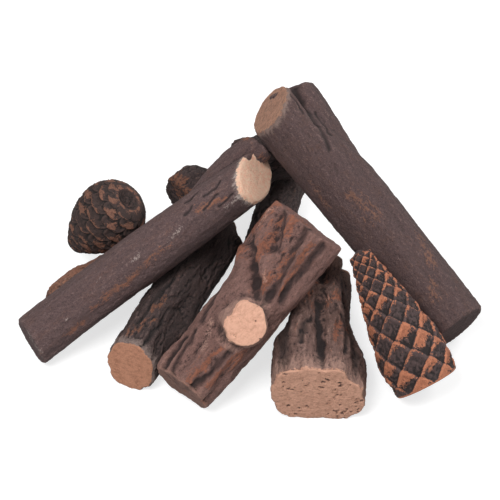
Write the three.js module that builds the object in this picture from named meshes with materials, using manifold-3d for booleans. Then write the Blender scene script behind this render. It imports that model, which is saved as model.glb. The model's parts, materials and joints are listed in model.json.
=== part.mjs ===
// Gas log set: eight cast ceramic logs and two cast pine cones, stacked as they stand in a fire.
// Sizes are in millimetres. X runs to the right, Y to the back and Z up, and the set stands on Z = 0.
import * as THREE from "three";
import Module from "manifold-3d";

const wasm = await Module();
wasm.setup();

// Shared by all pieces
const seat_gap = 0.3; // clearance between a piece and what it lies on
const side_gap = 0.8; // clearance between logs that stand side by side on the hearth
const worn_rim = 2; // rounding of the edge of a sawn face

// Front right log: a thick split log on the hearth, with its sawn end to the front
const front_right_length = 149;
const front_right_width = 86;
const front_right_height = 70;
const front_right_base = 31; // from the middle of the log down to its flat underside
const front_right_back_width = 56;
const front_right_groove = 9;
const front_right_groove_width = 7;
const front_right_side_groove = 9;
const front_right_knob = 11;
const front_right_knob_width = 15;
const front_right_knob_reach = 98; // from the sawn end back to the knob
const front_right_boss = 5;
const front_right_boss_reach = 50;
const front_right_furrow = 3;
const front_right_x = 61;
const front_right_y = 12;
const front_right_angle = 88;

// Front left log: a round log on the hearth, with a long flap of bark lifted on its left side
const front_left_length = 188;
const front_left_width = 50;
const front_left_height = 54;
const front_left_base = 23;
const front_left_flap = 5;
const front_left_flap_width = 9;
const front_left_flap_reach = 62;
const front_left_furrow = 2.2;
const front_left_x = -105.2;
const front_left_y = 53.3;
const front_left_angle = 65;

// Middle base log: a plain log on the hearth under the stack
const middle_length = 182;
const middle_width = 43;
const middle_height = 52;
const middle_base = 23;
const middle_furrow = 2.2;
const middle_bow = 3;
const middle_x = 3;
const middle_y = 112;
const middle_angle = 80;

// Back left log: a thin log on the hearth with a knot and one long sawn face
const back_left_length = 116;
const back_left_width = 40;
const back_left_height = 42;
const back_left_base = 18;
const back_left_knot = 5;
const back_left_knot_width = 11;
const back_left_knot_reach = 24;
const back_left_face_reach = 36; // from the near end to where the long sawn face starts
const back_left_face_drop = 16; // how far that face falls over its length
const back_left_face_length = 66;
const back_left_furrow = 1.5;
const back_left_x = -172;
const back_left_y = 134;
const back_left_angle = 40;

// Back knobbly log: a short gnarled log across the two base logs
const back_length = 128;
const back_width = 46;
const back_height = 44;
const back_knob = 10;
const back_knob_width = 15;
const back_hollow = 8;
const back_furrow = 2;
const back_x = -62;
const back_y = 216;
const back_angle = 31;
const back_tilt = 1.5;

// Left long log: a slender log with two prongs, its foot on the hearth
const left_length = 252;
const left_width = 47;
const left_height = 48;
const left_bow = 3;
const left_furrow = 1;
const left_knot = 2.5;
const left_knot_width = 13;
const left_knot_reach = 132;
const left_front_prong_width = 40;
const left_front_prong_shift = 0; // sideways from the middle of the log to the middle of the prong
const left_rear_prong_width = 31;
const left_rear_prong_shift = 26;
const left_rear_prong_root = 150; // from the foot of the log to where the prong starts inside it
const left_rear_prong_lead = 20; // how far it reaches past the front prong
const left_x = -195;
const left_y = 83;
const left_angle = 31;

// Right forked log: the thickest log, with two prongs, leaning over the others
const right_length = 262;
const right_width = 58;
const right_height = 62;
const right_neck_width = 63; // just below the fork
const right_bow = 3;
const right_furrow = 1.2;
const right_front_prong_width = 44;
const right_front_prong_shift = 8;
const right_rear_prong_width = 40;
const right_rear_prong_height = 46;
const right_rear_prong_shift = 21;
const right_rear_prong_root = 150;
const right_rear_prong_lead = 5; // how far it reaches past the front prong
const right_aside = 83; // from the side of the front right log out to the foot of this one
const right_y = 94;
const right_angle = 134;

// Centre log: a split log with the stub of a sawn branch and deep ridges that fan out from it
const centre_length = 184;
const centre_width = 60;
const centre_height = 56;
const centre_head_width = 77; // the broad upper end
const centre_neck_reach = 106; // from the foot to where the log starts to broaden
const centre_head_flat = 33; // from the middle line out to the split flat on the left of the head
const centre_split = 9; // depth of the deepest split in the head
const centre_split_width = 5;
// Where each split starts and ends, as shares of the log's length, with the angle round the log there
const centre_split_shares = [
  { near: 0.58, nearAngle: 117, far: 0.76, farAngle: 30, depth: 1 },
  { near: 0.6, nearAngle: 140, far: 1, farAngle: 104, depth: 0.9 },
  { near: 0.64, nearAngle: 165, far: 0.95, farAngle: 160, depth: 0.7 },
  { near: 0.8, nearAngle: 92, far: 1, farAngle: 40, depth: 0.9 },
];
const centre_furrow = 4;
const centre_stub_reach = 80;
const centre_stub_width = 43;
const centre_stub_root_width = 54;
const centre_stub_height = 43; // from the middle of the log out to the sawn face of the stub
const centre_x = -59.4;
const centre_y = 25;
const centre_angle = 41;

// Right pine cone: stands on the rim of its base and leans back between the two right logs
const right_cone_length = 130;
const right_cone_width = 66;
const right_cone_base_width = 56;
const right_cone_tip_width = 20;
const right_cone_belly_reach = 30; // from the base to the widest place
const right_cone_relief = 3.6; // how far a scale stands out
const right_cone_aside = 53; // from the side of the front right log
const right_cone_y = 45;
const right_cone_angle = 128;
const right_cone_tilt = 41;

// Left pine cone: lies across the back left log with its tip down behind it and its stem end up
const left_cone_length = 82;
const left_cone_width = 66;
const left_cone_base_width = 24;
const left_cone_tip_width = 18;
const left_cone_belly_reach = 27;
const left_cone_relief = 3;
const left_cone_scar = 5; // depth of the hollow where the stem was
const left_cone_x = -160;
const left_cone_y = 204;
const left_cone_angle = -7;
const left_cone_tilt = 51;

const radians = THREE.MathUtils.degToRad;
const { clamp, smoothstep, lerp } = THREE.MathUtils;

// Distance from the middle of a section to its edge. Squareness 2 is an ellipse, and more is boxier.
function sectionRadius(angle, width, height, squareness) {
  const across = Math.abs(Math.cos(angle)) / (width / 2);
  const up = Math.abs(Math.sin(angle)) / (height / 2);
  return (across ** squareness + up ** squareness) ** (-1 / squareness);
}

// Split bark: 1 in the middle of each furrow and 0 on the plates between the furrows.
function furrows(angle, count, sharpness) {
  return (1 - Math.abs(Math.cos((count * angle) / 2))) ** sharpness;
}

// A rounded swelling: 1 at its place on the bark and fading to 0 over its width.
function swelling(x, angle, placeX, placeAngle, width, girth) {
  const turn = Math.atan2(Math.sin(angle - placeAngle), Math.cos(angle - placeAngle));
  const along = (x - placeX) / (width / 2);
  const around = (turn * girth) / width;
  return Math.exp(-(along ** 2) - around ** 2);
}

// A groove along the grain: 1 on its line and fading to 0 over its width.
function groove(angle, placeAngle, width, girth) {
  const turn = Math.atan2(Math.sin(angle - placeAngle), Math.cos(angle - placeAngle));
  return Math.exp(-(((turn * girth) / width) ** 2));
}

function geometryOf(positions, triangles) {
  const geometry = new THREE.BufferGeometry();
  geometry.setAttribute("position", new THREE.Float32BufferAttribute(positions, 3));
  geometry.setIndex(triangles);
  geometry.computeVertexNormals();
  return geometry;
}

// A closed skin through rings of points, from the near end to the far end, with a middle point in each end.
function closedSkin(rings, nearMiddle, farMiddle, splitOtherWay = () => false) {
  const around = rings[0].length;
  const points = [...rings.flat(), nearMiddle, farMiddle];
  const near = rings.length * around;
  const last = near - around;
  const triangles = [];
  for (let side = 0; side < around; side++) {
    const next = (side + 1) % around;
    triangles.push(near, next, side);
    triangles.push(near + 1, last + side, last + next);
    for (let row = 0; row + 1 < rings.length; row++) {
      const [a, b] = [row * around + side, row * around + next];
      const [c, d] = [a + around, b + around];
      if (splitOtherWay(row, side)) {
        triangles.push(a, b, c, b, d, c);
      } else {
        triangles.push(a, b, d, a, d, c);
      }
    }
  }
  return geometryOf(points.flatMap((point) => point.toArray()), triangles);
}

// A log along +X from its near face. radius gives the bark's distance from the middle line, spine moves
// that line sideways and up, and each end is sawn square or at a slope that faces the cut's angle.
function logSolid({ start = 0, length, rings, sides, radius, spine, near, far, base, top }) {
  const span = length - start;
  const step = (span - 2 * worn_rim) / (rings - 1);
  const inner = Array.from({ length: rings }, (_, i) => start + worn_rim + step * i);
  const stations = [start, ...inner, length];
  const facing = ({ slope, angle }, y, z) =>
    slope * (y * Math.cos(radians(angle)) + z * Math.sin(radians(angle)));
  const loops = stations.map((x, row) => {
    const atEnd = row === 0 || row === stations.length - 1;
    const share = (x - start) / span;
    const middle = spine ? spine(x) : new THREE.Vector2();
    return Array.from({ length: sides }, (_, side) => {
      const angle = (2 * Math.PI * side) / sides;
      const reach = radius(x, angle) - (atEnd ? worn_rim : 0);
      const y = middle.x + reach * Math.cos(angle);
      let z = middle.y + reach * Math.sin(angle);
      if (base) z = Math.max(z, -base);
      if (top) z = Math.min(z, top(x));
      let along = x;
      if (near) along += (1 - share) ** 3 * facing(near, y - middle.x, z - middle.y);
      if (far) along -= share ** 3 * facing(far, y - middle.x, z - middle.y);
      return new THREE.Vector3(along, y, z);
    });
  });
  const middleOf = (x) => {
    const middle = spine ? spine(x) : new THREE.Vector2();
    return new THREE.Vector3(x, middle.x, middle.y);
  };
  return closedSkin(loops, middleOf(start), middleOf(length));
}

function solidOf(geometry) {
  const vertProperties = new Float32Array(geometry.attributes.position.array);
  const triVerts = new Uint32Array(geometry.index.array);
  return new wasm.Manifold(new wasm.Mesh({ numProp: 3, vertProperties, triVerts }));
}

function joined(...geometries) {
  const whole = geometries.map(solidOf).reduce((sum, solid) => sum.add(solid));
  const mesh = whole.getMesh();
  return geometryOf([...mesh.vertProperties], [...mesh.triVerts]);
}

function frontRightLog() {
  const girth = front_right_width / 2;
  const radius = (x, angle) => {
    const taper = smoothstep(x, front_right_knob_reach / 3, front_right_knob_reach);
    const width = lerp(front_right_width, front_right_back_width, taper);
    const wide = front_right_knob_width * 2;
    const crest = swelling(x, angle, front_right_knob_reach, radians(84), wide, girth);
    const knob = swelling(x, angle, front_right_knob_reach, radians(80), front_right_knob_width, girth);
    const boss = swelling(x, angle, front_right_boss_reach, radians(42), wide, girth);
    const onward = smoothstep(x, -front_right_knob_width, front_right_boss_reach);
    const split = groove(angle, radians(88), front_right_groove_width, girth) * onward * (1 - knob);
    const hollow = groove(angle, radians(148), front_right_groove_width * 2, girth);
    return (
      sectionRadius(angle, width, front_right_height, 3) -
      front_right_furrow * furrows(angle + x / front_right_length, 9, 2) +
      front_right_knob * (crest + knob) * 0.5 +
      front_right_boss * boss -
      front_right_groove * split -
      front_right_side_groove * hollow
    );
  };
  return logSolid({
    length: front_right_length,
    rings: 16,
    sides: 36,
    radius,
    base: front_right_base,
    far: { slope: 0.25, angle: 60 },
  });
}

function frontLeftLog() {
  const girth = front_left_width / 2;
  const radius = (x, angle) => {
    const flap = swelling(x, angle, front_left_flap_reach, radians(150), front_left_flap_width * 5, girth);
    const split = groove(angle, radians(128) + x / front_left_length / 2, front_left_flap_width, girth);
    return (
      sectionRadius(angle, front_left_width, front_left_height, 2.1) -
      front_left_furrow * furrows(angle - (1.5 * x) / front_left_length, 7, 2) +
      front_left_flap * flap * (1 - split) -
      front_left_flap * split * smoothstep(x, 0, front_left_flap_reach)
    );
  };
  return logSolid({
    length: front_left_length,
    rings: 14,
    sides: 28,
    radius,
    base: front_left_base,
    near: { slope: 0.2, angle: 90 },
  });
}

function middleBaseLog() {
  const radius = (x, angle) =>
    sectionRadius(angle, middle_width, middle_height, 2.2) -
    middle_furrow * furrows(angle + (2 * x) / middle_length, 6, 2);
  return logSolid({
    length: middle_length,
    rings: 11,
    sides: 24,
    radius,
    spine: (x) => new THREE.Vector2(middle_bow * Math.sin((Math.PI * x) / middle_length), 0),
    base: middle_base,
    near: { slope: 0.3, angle: 0 },
  });
}

function backLeftLog() {
  const girth = back_left_width / 2;
  const radius = (x, angle) =>
    sectionRadius(angle, back_left_width, back_left_height, 2.2) -
    back_left_furrow * furrows(angle + x / back_left_length, 6, 2) +
    back_left_knot * swelling(x, angle, back_left_knot_reach, radians(95), back_left_knot_width * 2, girth);
  const faceTop = back_left_height / 2 - back_left_furrow;
  const top = (x) => {
    const along = (x - back_left_face_reach) / back_left_face_length;
    return along < 0 ? back_left_height : faceTop - back_left_face_drop * clamp(along, 0, 1);
  };
  return logSolid({
    length: back_left_length,
    rings: 13,
    sides: 24,
    radius,
    top,
    base: back_left_base,
    near: { slope: 0.35, angle: 120 },
  });
}

function backKnobblyLog() {
  const girth = back_width / 2;
  const knobs = [
    { share: 0.17, angle: 65, out: back_knob },
    { share: 0.38, angle: 55, out: -back_hollow },
    { share: 0.3, angle: 160, out: -back_hollow },
    { share: 0.6, angle: 45, out: back_knob * 1.3 },
    { share: 0.85, angle: 55, out: back_knob },
    { share: 0.7, angle: 165, out: -back_hollow },
  ];
  const radius = (x, angle) =>
    sectionRadius(angle, back_width, back_height, 2.3) -
    back_furrow * furrows(angle - (2 * x) / back_length, 6, 2) +
    knobs.reduce((sum, knob) => {
      const reach = back_length * knob.share;
      return sum + knob.out * swelling(x, angle, reach, radians(knob.angle), back_knob_width * 2, girth);
    }, 0);
  return logSolid({
    length: back_length,
    rings: 15,
    sides: 26,
    radius,
    near: { slope: 0.25, angle: 200 },
    far: { slope: 0.3, angle: 90 },
  });
}

function leftLongLog() {
  const girth = left_width / 2;
  const bow = (x) => left_bow * Math.sin((Math.PI * x) / left_length);
  const fork = (x) => smoothstep(x, left_rear_prong_root, left_length);
  const bark = (x, angle) => left_furrow * furrows(angle + x / left_length, 7, 1.5);
  const trunk = logSolid({
    length: left_length,
    rings: 13,
    sides: 26,
    radius: (x, angle) =>
      sectionRadius(angle, lerp(left_width, left_front_prong_width, fork(x)), left_height, 2.1) -
      bark(x, angle) +
      left_knot * swelling(x, angle, left_knot_reach, radians(140), left_knot_width * 2, girth),
    spine: (x) => new THREE.Vector2(-left_front_prong_shift * fork(x), bow(x)),
    near: { slope: 0.15, angle: 90 },
    far: { slope: 1, angle: 156 },
  });
  const prong = logSolid({
    start: left_rear_prong_root,
    length: left_length + left_rear_prong_lead,
    rings: 6,
    sides: 18,
    radius: (x, angle) =>
      sectionRadius(angle, left_rear_prong_width, left_rear_prong_width, 2.1) - bark(x, angle),
    spine: (x) => new THREE.Vector2(left_rear_prong_shift * fork(x), bow(x)),
    far: { slope: 0.3, angle: 0 },
  });
  return joined(trunk, prong);
}

function rightForkedLog() {
  const fork = (x) => smoothstep(x, right_rear_prong_root, right_length + right_rear_prong_lead);
  const bow = (x) => right_bow * Math.sin((Math.PI * x) / right_length);
  const bark = (x, angle) => right_furrow * furrows(angle - x / right_length, 8, 1.5);
  const girth = (x) => {
    const neck = smoothstep(x, right_rear_prong_root / 2, right_rear_prong_root);
    return lerp(lerp(right_width, right_neck_width, neck), right_front_prong_width, fork(x));
  };
  const trunk = logSolid({
    length: right_length,
    rings: 14,
    sides: 28,
    radius: (x, angle) => sectionRadius(angle, girth(x), right_height, 2.1) - bark(x, angle),
    spine: (x) => new THREE.Vector2(right_front_prong_shift * fork(x), bow(x)),
    near: { slope: 0.12, angle: 60 },
    far: { slope: 0.7, angle: 20 },
  });
  const prong = logSolid({
    start: right_rear_prong_root,
    length: right_length + right_rear_prong_lead,
    rings: 6,
    sides: 20,
    radius: (x, angle) =>
      sectionRadius(angle, right_rear_prong_width, right_rear_prong_height, 2.2) - bark(x, angle),
    spine: (x) => new THREE.Vector2(-right_rear_prong_shift * (0.4 + 0.6 * fork(x)), bow(x)),
    far: { slope: 0.35, angle: 150 },
  });
  return joined(trunk, prong);
}

// How deep a split cuts at a point of the bark: depth on its line and 0 past its width.
function splitAt(split, x, angle, length, width, girth) {
  const way = [(split.far - split.near) * length, radians(split.farAngle - split.nearAngle) * girth];
  const off = [x - split.near * length, (angle - radians(split.nearAngle)) * girth];
  const share = clamp((off[0] * way[0] + off[1] * way[1]) / (way[0] ** 2 + way[1] ** 2), 0, 1);
  const aside = Math.hypot(off[0] - share * way[0], off[1] - share * way[1]);
  return split.depth * Math.exp(-((aside / width) ** 2));
}

// The splits in the head of the centre log fan out from the stub.
function centreStubLog() {
  const girth = centre_width / 2;
  const stubAngle = radians(131);
  const flatAngle = radians(158);
  const head = (x) => smoothstep(x, centre_neck_reach, centre_neck_reach + centre_width / 2);
  const headShift = (centre_head_width - centre_width) / 2;
  const radius = (x, angle) => {
    const splits = centre_split_shares.map((split) =>
      splitAt(split, x, angle, centre_length, centre_split_width, girth),
    );
    const beyond = smoothstep(Math.abs(x - centre_stub_reach), centre_stub_width / 3, centre_stub_width);
    const lower = 1 - smoothstep(x, centre_stub_reach, centre_neck_reach);
    const bark =
      sectionRadius(angle, lerp(centre_width, centre_head_width, head(x)), centre_height, 2.8) -
      centre_split * Math.max(...splits) -
      centre_furrow * lower * furrows(angle + x / centre_length, 9, 1.5) * beyond;
    const facing = Math.cos(angle - flatAngle);
    return x > centre_neck_reach && facing > 0 ? Math.min(bark, centre_head_flat / facing) : bark;
  };
  const trunk = logSolid({
    length: centre_length,
    rings: 22,
    sides: 44,
    radius,
    spine: (x) => new THREE.Vector2(headShift * head(x) * Math.cos(radians(32)), 0),
    near: { slope: 0.2, angle: 125 },
    far: { slope: 0.15, angle: 90 },
  });
  const stub = logSolid({
    length: centre_stub_height,
    rings: 4,
    sides: 24,
    radius: (x, angle) => {
      const root = 1 - smoothstep(x, girth / 2, centre_stub_height - worn_rim);
      const width = lerp(centre_stub_width, centre_stub_root_width, root);
      return sectionRadius(angle, width, centre_stub_width, 2.1);
    },
  });
  stub.rotateY(-Math.PI / 2);
  stub.rotateX(stubAngle - Math.PI / 2);
  stub.translate(centre_stub_reach, 0, 0);
  return joined(trunk, stub);
}

// A cone of diamond shaped scales in rows that stand half a scale round from each other. Each row is as
// tall as a share of the cone's radius there, and each scale swells to its middle and drops at its edges.
function pineCone({ length, width, baseWidth, tipWidth, bellyReach, fullness, scale, scar, ...tiling }) {
  const { count, rowShare, twist } = tiling;
  const radiusAt = (x) => {
    if (x < bellyReach) {
      const back = 1 - x / bellyReach;
      return lerp(baseWidth / 2, width / 2, Math.sqrt(1 - back ** 2));
    }
    const on = (x - bellyReach) / (length - bellyReach);
    return lerp(width / 2, tipWidth / 2, on ** fullness);
  };
  const rows = [0];
  while (rows.at(-1) < length) rows.push(rows.at(-1) + rowShare * radiusAt(Math.min(rows.at(-1), length)));
  const fit = length / rows.at(-1);
  const halfRows = rows.slice(1).flatMap((x, i) => [(rows[i] * fit + x * fit) / 2, x * fit]);
  const stations = [0, ...halfRows];
  const columns = count * 4;
  const shape = (part) => 1 - (2 * Math.abs(part)) ** 3;
  const offCentre = (value) => value - Math.round(value);
  const rings = stations.map((x, row) => {
    const fade = smoothstep(x, 0, bellyReach / 3) * (1 - smoothstep(x, length - tipWidth / 2, length));
    return Array.from({ length: columns }, (_, column) => {
      const [across, up] = [column / 2, row / 2];
      const right = offCentre((across + up) / 2);
      const left = offCentre((across - up) / 2);
      const lifted = 0.84 + 0.92 * (right - left);
      const pad = shape(right) * shape(left) * lifted;
      const closing = row === stations.length - 1 ? 0.55 : 1;
      const reach = radiusAt(x) * closing - scale * fade * (1 - pad);
      const angle = (2 * Math.PI * column) / columns + twist * (x / length);
      return new THREE.Vector3(x, reach * Math.cos(angle), reach * Math.sin(angle));
    });
  });
  const alongGroove = (row, column) => ((row + column + 1) / 2) % 2 === 1;
  const tipMiddle = new THREE.Vector3(length + tipWidth / 8, 0, 0);
  return closedSkin(rings, new THREE.Vector3(scar, 0, 0), tipMiddle, alongGroove);
}

function piece(name, geometry, colour, roughness) {
  const material = new THREE.MeshStandardMaterial({ color: colour, roughness, metalness: 0 });
  const mesh = new THREE.Mesh(geometry, material);
  mesh.name = name;
  return mesh;
}

// A piece is placed by the middle of its near face: its far end is tilted up, then it is turned.
function place(mesh, x, y, turn, tilt = 0) {
  mesh.position.set(x, y, mesh.position.z);
  mesh.rotation.set(0, -radians(tilt), radians(turn), "ZYX");
}

function setOnHearth(mesh) {
  mesh.position.z = 0;
  mesh.updateMatrixWorld(true);
  mesh.position.z = -new THREE.Box3().setFromObject(mesh, true).min.z;
  mesh.updateMatrixWorld(true);
}

function standingSolid(mesh) {
  mesh.updateMatrixWorld(true);
  return solidOf(mesh.geometry.clone().applyMatrix4(mesh.matrixWorld));
}

function meets(mesh, solids) {
  const own = standingSolid(mesh);
  return solids.some((solid) => own.intersect(solid).getMesh().triVerts.length > 0);
}

// The carriers moved by the gap to each side and up, so that the gap is kept whichever way they face.
function withGap(carriers, gap) {
  const ways = [
    [0, 0, gap],
    [gap, 0, 0],
    [-gap, 0, 0],
    [0, gap, 0],
    [0, -gap, 0],
  ];
  return carriers.map(standingSolid).flatMap((solid) => ways.map((way) => solid.translate(way)));
}

// The least value at which the piece is clear of what carries it, found by halving.
function leastClear(mesh, carriers, gap, most, apply) {
  const spaced = withGap(carriers, gap);
  let [blocked, clear] = [0, most];
  for (let step = 0; step < 18; step++) {
    const middle = (blocked + clear) / 2;
    apply(middle);
    if (meets(mesh, spaced)) {
      blocked = middle;
    } else {
      clear = middle;
    }
  }
  apply(clear);
}

// The foot stays on the hearth and the far end comes down until the piece lies on its carriers.
function leanOn(mesh, carriers, x, y, turn) {
  const steepest = 75;
  leastClear(mesh, carriers, seat_gap, steepest, (tilt) => {
    place(mesh, x, y, turn, tilt);
    setOnHearth(mesh);
  });
}

// The piece comes straight down until it lies on its carriers.
function lowerOnto(mesh, carriers, x, y, turn, tilt = 0) {
  place(mesh, x, y, turn, tilt);
  setOnHearth(mesh);
  const onHearth = mesh.position.z;
  const above = front_right_height + back_height;
  leastClear(mesh, carriers, seat_gap, above, (height) => {
    mesh.position.z = onHearth + height;
    mesh.updateMatrixWorld(true);
  });
}

// The piece stands with its foot on the hearth and moves off in one direction until it is clear.
function setBeside(mesh, carriers, gap, x, y, turn, heading, tilt = 0) {
  const way = radians(heading);
  leastClear(mesh, carriers, gap, middle_length, (distance) => {
    place(mesh, x + distance * Math.cos(way), y + distance * Math.sin(way), turn, tilt);
    setOnHearth(mesh);
  });
}

const frontRight = piece("front_right_log", frontRightLog(), 0x6b5148, 0.9);
const frontLeft = piece("front_left_log", frontLeftLog(), 0x4a3d3b, 0.9);
const middleBase = piece("middle_base_log", middleBaseLog(), 0x4b3c38, 0.9);
const backLeft = piece("back_left_log", backLeftLog(), 0x6a4a3c, 0.9);
const backKnobbly = piece("back_knobbly_log", backKnobblyLog(), 0x4a3833, 0.9);
const leftLong = piece("left_long_log", leftLongLog(), 0x564949, 0.9);
const rightForked = piece("right_forked_log", rightForkedLog(), 0x594b4b, 0.9);
const centreStub = piece("centre_stub_log", centreStubLog(), 0x704b3f, 0.9);
const rightCone = piece(
  "right_pine_cone",
  pineCone({
    length: right_cone_length,
    width: right_cone_width,
    baseWidth: right_cone_base_width,
    tipWidth: right_cone_tip_width,
    bellyReach: right_cone_belly_reach,
    fullness: 1.25,
    scale: right_cone_relief,
    scar: 0,
    count: 7,
    rowShare: 0.4,
    twist: 0.9,
  }),
  0x7a4a38,
  0.9,
);
const leftCone = piece(
  "left_pine_cone",
  pineCone({
    length: left_cone_length,
    width: left_cone_width,
    baseWidth: left_cone_base_width,
    tipWidth: left_cone_tip_width,
    bellyReach: left_cone_belly_reach,
    fullness: 1.8,
    scale: left_cone_relief,
    scar: left_cone_scar,
    count: 7,
    rowShare: 0.27,
    twist: 0.9,
  }),
  0x4b3a34,
  0.9,
);

const toLeft = 180;
const toBack = 90;
const toFront = -90;

// The right log and its cone stand off the right side of the front right log.
const frontRightSide = front_right_x + front_right_width / 2;

place(frontRight, front_right_x, front_right_y, front_right_angle);
setOnHearth(frontRight);
setBeside(middleBase, [frontRight], side_gap, middle_x, middle_y, middle_angle, toLeft);
setBeside(frontLeft, [middleBase], side_gap, front_left_x, front_left_y, front_left_angle, toLeft);
lowerOnto(backKnobbly, [frontLeft, middleBase], back_x, back_y, back_angle, back_tilt);
leanOn(leftLong, [frontLeft, middleBase, backKnobbly], left_x, left_y, left_angle);
leanOn(
  rightForked,
  [frontRight, leftLong, backKnobbly],
  frontRightSide + right_aside,
  right_y,
  right_angle,
);
leanOn(centreStub, [frontRight, middleBase, frontLeft], centre_x, centre_y, centre_angle);
setBeside(
  rightCone,
  [frontRight, rightForked],
  seat_gap,
  frontRightSide + right_cone_aside,
  right_cone_y,
  right_cone_angle,
  toFront,
  right_cone_tilt,
);
setBeside(backLeft, [leftLong], seat_gap, back_left_x, back_left_y, back_left_angle, toBack);

// The left cone is turned end for end, so that its tip is its foot.
leftCone.geometry.rotateZ(Math.PI);
leftCone.geometry.translate(left_cone_length, 0, 0);
lowerOnto(leftCone, [backLeft, leftLong], left_cone_x, left_cone_y, left_cone_angle, left_cone_tilt);

const stack = new THREE.Group();
stack.add(frontRight, frontLeft, middleBase, backLeft, backKnobbly);
stack.add(leftLong, rightForked, centreStub, rightCone, leftCone);

// The origin is under the middle of the set, on the hearth.
const box = new THREE.Box3().setFromObject(stack, true);
const middle = box.getCenter(new THREE.Vector3());
stack.position.set(-middle.x, -middle.y, 0);

export default stack;
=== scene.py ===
# Gas log set: eight cast ceramic logs and two cast pine cones, painted and dry brushed by hand.
# Every piece is cast over its solid in the frame, with finer bark, sawn faces and scales.
import json
import math

import bpy
import numpy as np
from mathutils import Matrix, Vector, noise

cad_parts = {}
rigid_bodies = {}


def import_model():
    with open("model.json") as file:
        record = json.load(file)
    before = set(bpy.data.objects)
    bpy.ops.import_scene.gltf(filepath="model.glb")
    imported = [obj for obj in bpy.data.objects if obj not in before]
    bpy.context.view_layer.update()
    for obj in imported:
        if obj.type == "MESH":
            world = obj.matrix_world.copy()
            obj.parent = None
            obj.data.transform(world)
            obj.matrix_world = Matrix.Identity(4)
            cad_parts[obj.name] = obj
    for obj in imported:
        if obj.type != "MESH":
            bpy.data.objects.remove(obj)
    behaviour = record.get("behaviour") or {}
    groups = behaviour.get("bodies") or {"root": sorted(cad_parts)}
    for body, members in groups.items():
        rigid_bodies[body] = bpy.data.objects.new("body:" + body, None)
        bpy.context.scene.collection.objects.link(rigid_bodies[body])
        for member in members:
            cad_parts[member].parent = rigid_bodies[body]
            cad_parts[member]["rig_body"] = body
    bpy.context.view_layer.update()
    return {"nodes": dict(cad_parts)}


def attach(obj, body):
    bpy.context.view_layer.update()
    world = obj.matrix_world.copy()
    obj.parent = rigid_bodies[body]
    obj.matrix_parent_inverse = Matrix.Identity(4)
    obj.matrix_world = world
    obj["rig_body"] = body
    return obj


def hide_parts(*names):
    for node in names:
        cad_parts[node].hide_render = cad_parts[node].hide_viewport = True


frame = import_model()

# Lengths in mm, apart from those that the floor, the lights and the camera take
MM = 0.001  # in metres
CM = 10
SKIN_STEP = 1.1  # spacing of the points on a log's skin
HEARTH_GAP = 0.05  # the lowest that a skin lies above the hearth
FAR_BELOW = 60.0  # depth below a sawn face where its dust has ended
FACE_BAND = 1.2  # a sawn face is looked for within this distance of its plane
FACE_MARGIN = 9  # and this far beyond its rim
ON_FACE = 0.8  # points so near to its plane lie on it
LOOKS_DOWN = -0.95  # a flat that faces down more than this is an underside
BARK_END = 2.4  # depth below a sawn face where the bark's paint starts
GROOVE_SWAY = 3.0  # how far a groove wanders from its straight way
BITE_DEPTH = 7  # how far a bite in a face's rim runs down the bark
PIT_DEPTH = 1.3
RIM_CHIP = 0.6
WEAR_AND_SHADE_HEIGHT = 0.22  # a point so far above its nearest surroundings is fully worn, and the same measure sets the painted shade in hollows
RELIEF_HEIGHT = 0.7  # and so far above its wider ones stands fully out
BUMP_HEIGHT = 0.8  # height of the finest grain of the bark
SCALE_BUMP_HEIGHT = 0.5  # and of the cone scales
SCALE_INSET = 0.15  # the least that a cone's skin lies below its outline
SCALE_GRAIN = 0.4  # depth of the rough grain on the scales
SCALE_WEAR_AND_SHADE_HEIGHT = 0.2  # a point on a cone so far above its surroundings is fully worn, and the same measure sets the painted shade in its hollows
UNBRUSHED = -0.35  # the brush value of a place on a cone that the rust doesn't reach


def paint(red, green, blue):
    """A paint colour given as it looks, from 0 to 255."""
    shares = [value / 255 for value in (red, green, blue)]
    return tuple(v / 12.92 if v <= 0.04045 else ((v + 0.055) / 1.055) ** 2.4 for v in shares) + (1.0,)


# Shader maths


class Wire:
    """A socket that can be used in a sum."""

    def __init__(self, finish, socket):
        self.finish = finish
        self.socket = socket

    def _math(self, operation, *values):
        node = self.finish.node("ShaderNodeMath", {"operation": operation}, *values)
        return Wire(self.finish, node.outputs[0])

    def __add__(self, other):
        return self._math("ADD", self, other)

    def __radd__(self, other):
        return self._math("ADD", other, self)

    def __sub__(self, other):
        return self._math("SUBTRACT", self, other)

    def __rsub__(self, other):
        return self._math("SUBTRACT", other, self)

    def __mul__(self, other):
        return self._math("MULTIPLY", self, other)

    def __rmul__(self, other):
        return self._math("MULTIPLY", other, self)

    def between(self, low, high):
        """0 below low, 1 above high and smooth between them."""
        settings = {"interpolation_type": "SMOOTHSTEP"}
        node = self.finish.node("ShaderNodeMapRange", settings, self, low, high)
        return Wire(self.finish, node.outputs[0])


class Nodes:
    """A tree of nodes, made from their types, their settings and what goes into their sockets."""

    def __init__(self, tree):
        self.tree = tree

    def node(self, kind, settings, *values, **named):
        node = self.tree.nodes.new(kind)
        for key, value in settings.items():
            setattr(node, key, value)
        pairs = list(zip([s for s in node.inputs if s.enabled], values))
        pairs += [(node.inputs[key], value) for key, value in named.items()]
        for socket, value in pairs:
            self.put(socket, value)
        return node

    def put(self, socket, value):
        if isinstance(value, Wire):
            self.tree.links.new(value.socket, socket)
        else:
            socket.default_value = value


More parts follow.
